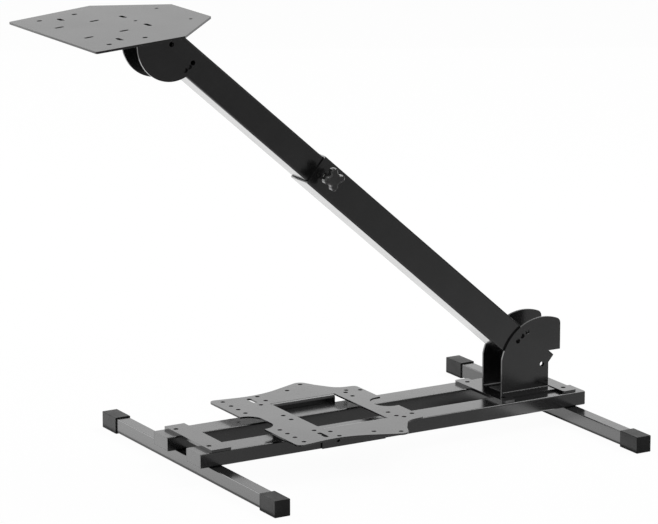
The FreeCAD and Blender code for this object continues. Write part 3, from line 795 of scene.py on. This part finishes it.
@dataclass
class Studio:
    """The pale floor, the plain soft lamps, the world and the camera.

    The gloss levels say how bright the floor and the sky look in a gloss, by place or by direction, and the
    shade is the dark patch of floor under the arm bracket.
    """

    floor_size: float = 14.0
    floor_cells: int = 4
    floor_drop: float = 0.4 * MILLIMETRE
    floor_colour: float = 0.92
    seen_white: float = 0.965
    gloss_white: float = 0.8
    floor_gloss: Stops = ((-2.0, 0.25), (-0.7, 0.44), (-0.17, 0.68), (0.1, 1.0))
    sky_gloss: Stops = ((-0.9, 0.8), (0.2, 1.0))
    side_gloss: Stops = ((0.72, 1.0), (0.86, 0.15))
    shade_along: Stops = ((0.24, 1.0), (0.27, 0.0), (0.37, 0.0), (0.4, 1.0))
    shade_across: Stops = ((-0.07, 1.0), (-0.04, 0.0), (0.04, 0.0), (0.07, 1.0))
    sky_light: float = 0.42
    hung_boxes: tuple[SoftBox, ...] = (
        SoftBox("soft_box_overhead", place=(1.6, 0.35, 2.2), aim=(0.1, 0.0, 0.1),
                width=2.2, height=1.2, radiance=5.0),
        SoftBox("soft_box_behind_left", place=(-1.6, 2.4, 0.76), aim=(0.0, 0.2, 0.76),
                width=2.4, height=1.5, radiance=2.2),
        SoftBox("soft_box_behind", place=(1.5, 2.7, 0.52), aim=(0.0, 0.0, 0.52),
                width=2.6, height=1.04, radiance=0.42),
        SoftBox("soft_box_high_behind", place=(-0.7, 2.3, 1.6), aim=(0.0, 0.0, 0.1),
                width=1.4, height=1.1, radiance=3.5),
    )
    boxes_on_floor: tuple[SoftBox, ...] = (
        SoftBox("soft_box_low_left", place=(-0.65, 0.45, 0.003), aim=(-0.65, 0.45, 1.0),
                width=0.874, height=1.5, radiance=1.25),
        SoftBox("soft_box_low_behind", place=(0.2, 0.71, 0.003), aim=(0.2, 0.71, 1.0),
                width=0.8, height=1.24, radiance=0.75),
        SoftBox("soft_strip_low_rear", place=(0.342, -0.125, 0.003), aim=(0.342, -0.125, 1.0),
                width=0.04, height=0.25, radiance=1.4),
    )
    camera_place: Triple = (-2.44047, -4.16909, 1.44232)
    camera_pitch: float = 13.683
    camera_azimuth: float = -30.512
    lens: float = 198.48
    sensor: float = 36.0
    view_depth: float = 60.0

    def build(self) -> None:
        """Sets up everything that isn't the object."""
        self.floor()
        self.world()
        for box in (*self.hung_boxes, *self.boxes_on_floor):
            box.hang()
        self.camera()

    def floor(self) -> None:
        """Lays the floor, which shows white and keeps a light shadow."""
        build = bmesh.new()
        bmesh.ops.create_grid(build, x_segments=self.floor_cells, y_segments=self.floor_cells,
                              size=self.floor_size / 2)
        bmesh.ops.translate(build, verts=build.verts, vec=(0.0, 0.0, -self.floor_drop))
        piece = add_mesh("studio_floor", build)
        material = bpy.data.materials.new("studio_floor_white")
        recipe = Recipe(material)
        sheet = recipe.add("ShaderNodeBsdfDiffuse")
        sheet.inputs["Color"].default_value = (self.floor_colour, self.floor_colour, self.floor_colour, 1.0)
        glow = recipe.add("ShaderNodeEmission")
        paths = recipe.add("ShaderNodeLightPath")
        level = recipe.arithmetic("MAXIMUM", paths.outputs["Is Camera Ray"],
                                  recipe.ramp_along("Y", self.floor_gloss))
        recipe.join(level, glow.inputs["Strength"])
        seen = recipe.arithmetic("MULTIPLY", paths.outputs["Is Camera Ray"], self.seen_white)
        out_of_shade = recipe.arithmetic("MAXIMUM", recipe.ramp_along("X", self.shade_along),
                                         recipe.ramp_along("Y", self.shade_across))
        glossy = recipe.arithmetic("MULTIPLY", paths.outputs["Is Glossy Ray"],
                                   recipe.arithmetic("MULTIPLY", out_of_shade, self.gloss_white))
        recipe.finish(recipe.blend_shaders(recipe.arithmetic("MAXIMUM", seen, glossy), sheet, glow))
        dress(piece, material)

    def world(self) -> None:
        """Makes the world white where it is seen, dimmer in a gloss, and a soft grey for its light."""
        world = bpy.data.worlds.new("studio_world")
        bpy.context.scene.world = world
        recipe = Recipe(world)
        seen = recipe.add("ShaderNodeBackground")
        cast = recipe.add("ShaderNodeBackground")
        cast.inputs["Strength"].default_value = self.sky_light
        for light in (seen, cast):
            light.inputs["Color"].default_value = (1.0, 1.0, 1.0, 1.0)
        paths = recipe.add("ShaderNodeLightPath")
        gloss = recipe.arithmetic("MULTIPLY", recipe.ramp_along("Y", self.sky_gloss),
                                  recipe.ramp_along("X", self.side_gloss))
        level = recipe.arithmetic("MAXIMUM", paths.outputs["Is Camera Ray"], gloss)
        recipe.join(level, seen.inputs["Strength"])
        looked_at = recipe.arithmetic("MAXIMUM", paths.outputs["Is Camera Ray"],
                                      paths.outputs["Is Glossy Ray"])
        recipe.finish(recipe.blend_shaders(looked_at, cast, seen))

    def camera(self) -> None:
        """Sets the camera where the photograph was taken from."""
        data = bpy.data.cameras.new("photo_camera")
        data.lens = self.lens
        data.sensor_width = self.sensor
        data.clip_end = self.view_depth
        camera = bpy.data.objects.new("photo_camera", data)
        bpy.context.scene.collection.objects.link(camera)
        camera.location = self.camera_place
        camera.rotation_euler = (math.radians(90.0 - self.camera_pitch), 0.0,
                                 math.radians(self.camera_azimuth))
        bpy.context.scene.camera = camera
        bpy.context.scene.view_settings.view_transform = "Standard"


def main() -> None:
    """Builds and dresses the stand, sub-assembly by sub-assembly."""
    logging.basicConfig(level=logging.INFO, format="%(name)s: %(message)s")
    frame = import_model()
    nodes = frame["nodes"]
    finishes = Finishes()
    for assembly in (CoatedSteel(nodes, finishes.coat),
                     FootCaps(nodes, finishes.cap_plastic),
                     ClampScrew(nodes, finishes.knob_plastic, finishes.zinc),
                     BracketWelds(finishes.coat)):
        for piece in assembly.build():
            log.info("%s: %s", type(assembly).__name__, piece)
    Studio().build()
    log.info("studio and camera are set")


if __name__ == "__main__":
    main()
